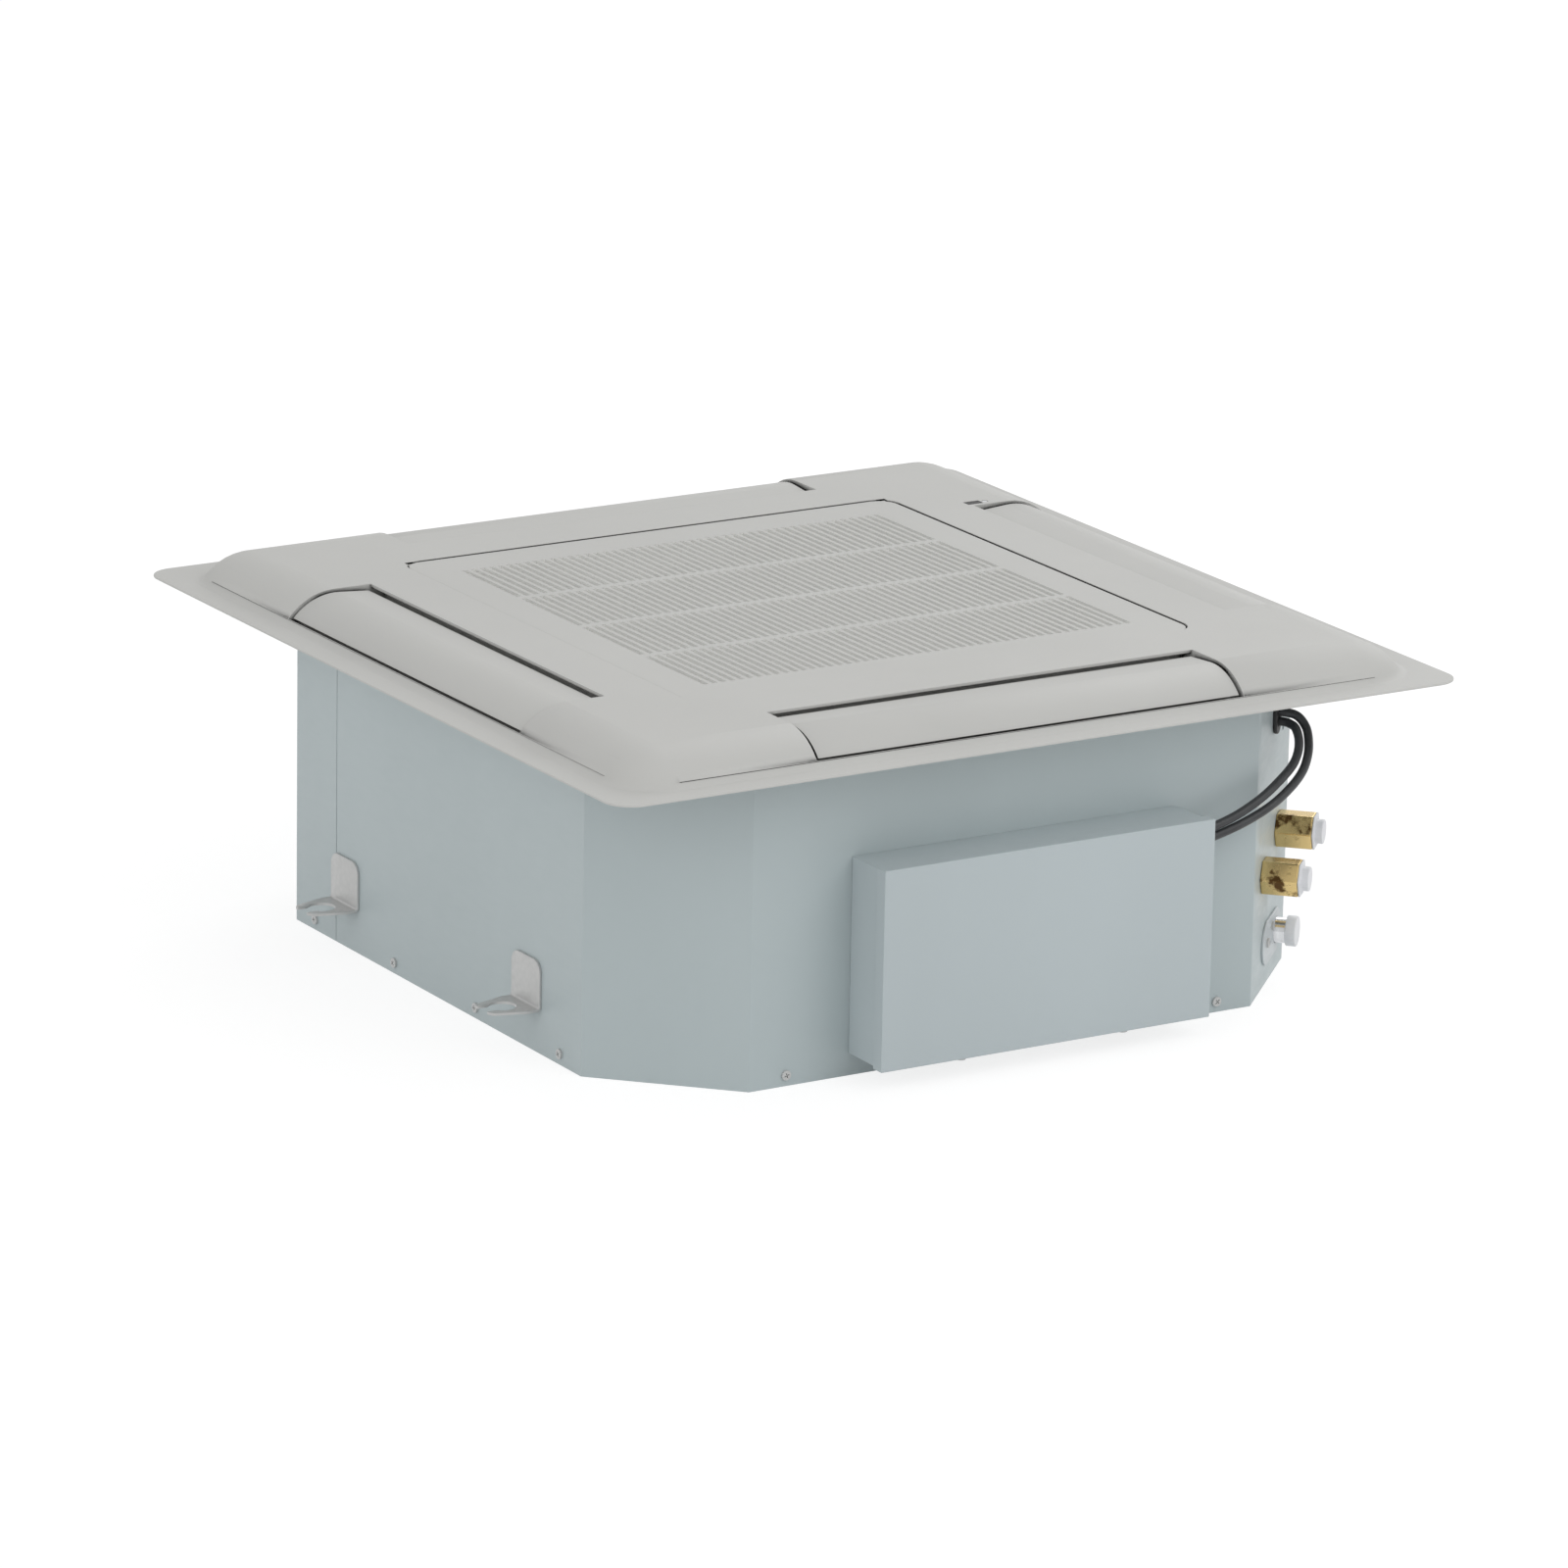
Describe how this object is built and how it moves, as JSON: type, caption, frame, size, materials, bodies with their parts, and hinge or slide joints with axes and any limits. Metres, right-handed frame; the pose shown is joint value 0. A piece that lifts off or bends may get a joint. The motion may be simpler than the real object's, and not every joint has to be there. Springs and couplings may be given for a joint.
{
  "type": "cassette fan coil unit",
  "caption": "Ceiling cassette fan coil unit lying on its back: chamfered steel casing, square room panel with swinging air flaps and a hinged slotted return grille.",
  "frame": {"origin": "middle of the casing's back face, the face that is up when the unit hangs", "axes": "+Z out of the room panel, -Y towards the electrical box, +X to the right of it; the pipe connections are on the corner between +X and -Y"},
  "size_m": [0.68, 0.68, 0.254],
  "materials": {
    "casing_steel": "smooth pale blue-grey coated steel sheet",
    "box_steel": "smooth pale blue-grey coated steel sheet",
    "bright_steel": "zinc plated",
    "panel_plastic": "fine satin moulding",
    "filter_plastic": "dark frame with fine mesh",
    "lead_jacket": "dark grey cable jacket",
    "grommet_rubber": "soft black",
    "brass_fitting": "turned",
    "plug_plastic": "white",
    "drain_steel": "smooth tube",
    "white_foam": "fine beads",
    "seal_foam": "soft cellular strip",
    "dark_plastic": "satin moulding",
    "fin_aluminium": "fine upright fins",
    "copper": "drawn copper tube",
    "pump_plastic": "satin moulding",
    "hose_rubber": "ribbed hose",
    "motor_coating": "coated",
    "mount_rubber": "soft black",
    "window_plastic": "polished dark window",
    "board_resin": "green circuit board",
    "terminal_plastic": "pale moulding"
  },
  "bodies": {
    "casing": {"back_plate": "casing_steel", "front_shell": "casing_steel", "rear_shell": "casing_steel", "casing_screws": "bright_steel", "hanger_left_front": "bright_steel", "hanger_left_rear": "bright_steel", "hanger_right_front": "bright_steel", "hanger_right_rear": "bright_steel", "electrical_box": "box_steel", "box_cover": "box_steel", "terminal_block": "terminal_plastic", "control_board": "board_resin", "inner_lead": "lead_jacket", "outer_lead": "lead_jacket", "lead_grommet": "grommet_rubber", "supply_end": "brass_fitting", "return_end": "brass_fitting", "supply_plug": "plug_plastic", "return_plug": "plug_plastic", "drain_plate": "bright_steel", "drain_spigot": "drain_steel", "drain_cap": "plug_plastic", "foam_lining": "white_foam", "drip_tray": "white_foam", "panel_seal": "seal_foam", "inlet_ring": "dark_plastic", "coil_fins": "fin_aluminium", "coil_bends": "copper", "supply_header": "copper", "return_header": "copper", "coil_baffle": "bright_steel", "condensate_pump": "pump_plastic", "pump_hose": "hose_rubber", "float_guide": "pump_plastic", "fan_motor": "motor_coating", "motor_mounts": "mount_rubber", "motor_nuts": "bright_steel", "strap_left_front": "bright_steel", "strap_right_front": "bright_steel", "strap_right_rear": "bright_steel", "strap_left_rear": "bright_steel", "panel_screws": "bright_steel", "panel_frame": "panel_plastic", "flap_motor_front": "plug_plastic", "flap_motor_right": "plug_plastic", "flap_motor_rear": "plug_plastic", "flap_motor_left": "plug_plastic", "receiver": "window_plastic"},
    "fan_rotor": {"motor_shaft": "bright_steel", "impeller": "dark_plastic", "impeller_nut": "bright_steel"},
    "level_float": {"pump_float": "plug_plastic"},
    "front_flap": {"flap_front": "panel_plastic"},
    "right_flap": {"flap_right": "panel_plastic"},
    "rear_flap": {"flap_rear": "panel_plastic"},
    "left_flap": {"flap_left": "panel_plastic"},
    "grille": {"return_grille": "panel_plastic", "air_filter": "filter_plastic"},
    "button": {"push_button": "plug_plastic"}
  },
  "joints": [
    {"name": "fan_turn", "type": "hinge", "parent": "casing", "child": "fan_rotor", "pos_m": [0, 0, 0.1], "axis": [0, 0, 1], "continuous": true},
    {"name": "float_rise", "type": "slide", "parent": "casing", "child": "level_float", "axis": [0, 0, 1], "range_m": [0, 0.007]},
    {"name": "front_flap_swing", "type": "hinge", "parent": "casing", "child": "front_flap", "pos_m": [0.003, -0.272, 0.238], "axis": [-1, 0, 0], "range_deg": [-1.5, 58.5]},
    {"name": "right_flap_swing", "type": "hinge", "parent": "casing", "child": "right_flap", "pos_m": [0.272, -0.004, 0.238], "axis": [0, -1, 0], "range_deg": [-1.5, 58.5]},
    {"name": "rear_flap_swing", "type": "hinge", "parent": "casing", "child": "rear_flap", "pos_m": [-0.003, 0.272, 0.238], "axis": [1, 0, 0], "range_deg": [-1.5, 58.5]},
    {"name": "left_flap_swing", "type": "hinge", "parent": "casing", "child": "left_flap", "pos_m": [-0.272, 0.004, 0.238], "axis": [0, 1, 0], "range_deg": [-1.5, 58.5]},
    {"name": "grille_swing", "type": "hinge", "parent": "casing", "child": "grille", "pos_m": [0, 0.2018, 0.2517], "axis": [-1, 0, 0], "range_deg": [0, 85]},
    {"name": "button_press", "type": "slide", "parent": "casing", "child": "button", "axis": [0, 0, -1], "range_m": [0, 0.0008], "stiffness_N_per_m": 400, "springref_m": -0.0004}
  ]
}
